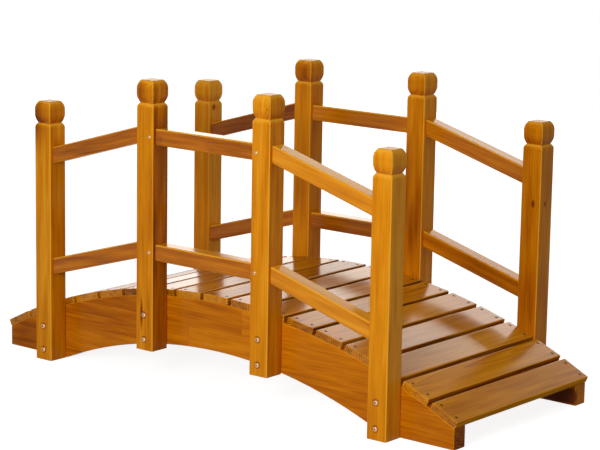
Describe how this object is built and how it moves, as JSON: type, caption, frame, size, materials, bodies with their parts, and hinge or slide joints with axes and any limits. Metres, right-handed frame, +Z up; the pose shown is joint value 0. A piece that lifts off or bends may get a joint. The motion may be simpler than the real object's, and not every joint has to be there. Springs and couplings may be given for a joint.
{
  "type": "arched garden footbridge",
  "caption": "Small arched wooden footbridge with a plank deck on two side beams and post-and-rail sides with milled post heads.",
  "frame": {"origin": "on the ground, at the middle of the bridge's length and width", "axes": "+X along the bridge, +Y across it to the left of someone walking along +X, +Z up"},
  "size_m": [1.498, 0.68, 0.7824],
  "materials": {
    "post_wood": "honey-stained softwood under clear gloss varnish",
    "rail_wood": "honey-stained softwood under clear gloss varnish",
    "beam_wood": "honey-stained softwood under clear gloss varnish",
    "plank_wood": "honey-stained softwood under clear gloss varnish",
    "fastener_steel": "yellow-passivated zinc plate on bolts, washers and screws, drawn in the scene only"
  },
  "bodies": {
    "root": {"right_post_1": "post_wood", "right_post_2": "post_wood", "right_post_3": "post_wood", "right_post_4": "post_wood", "left_post_1": "post_wood", "left_post_2": "post_wood", "left_post_3": "post_wood", "left_post_4": "post_wood", "right_upper_rail_1": "rail_wood", "right_upper_rail_2": "rail_wood", "right_upper_rail_3": "rail_wood", "right_lower_rail_1": "rail_wood", "right_lower_rail_2": "rail_wood", "right_lower_rail_3": "rail_wood", "left_upper_rail_1": "rail_wood", "left_upper_rail_2": "rail_wood", "left_upper_rail_3": "rail_wood", "left_lower_rail_1": "rail_wood", "left_lower_rail_2": "rail_wood", "left_lower_rail_3": "rail_wood", "right_beam": "beam_wood", "left_beam": "beam_wood", "deck_plank_01": "plank_wood", "deck_plank_02": "plank_wood", "deck_plank_03": "plank_wood", "deck_plank_04": "plank_wood", "deck_plank_05": "plank_wood", "deck_plank_06": "plank_wood", "deck_plank_07": "plank_wood", "deck_plank_08": "plank_wood", "deck_plank_09": "plank_wood", "deck_plank_10": "plank_wood", "deck_plank_11": "plank_wood", "deck_plank_12": "plank_wood", "deck_plank_13": "plank_wood", "deck_plank_14": "plank_wood", "deck_plank_15": "plank_wood", "deck_plank_16": "plank_wood", "deck_plank_17": "plank_wood"}
  },
  "joints": []
}
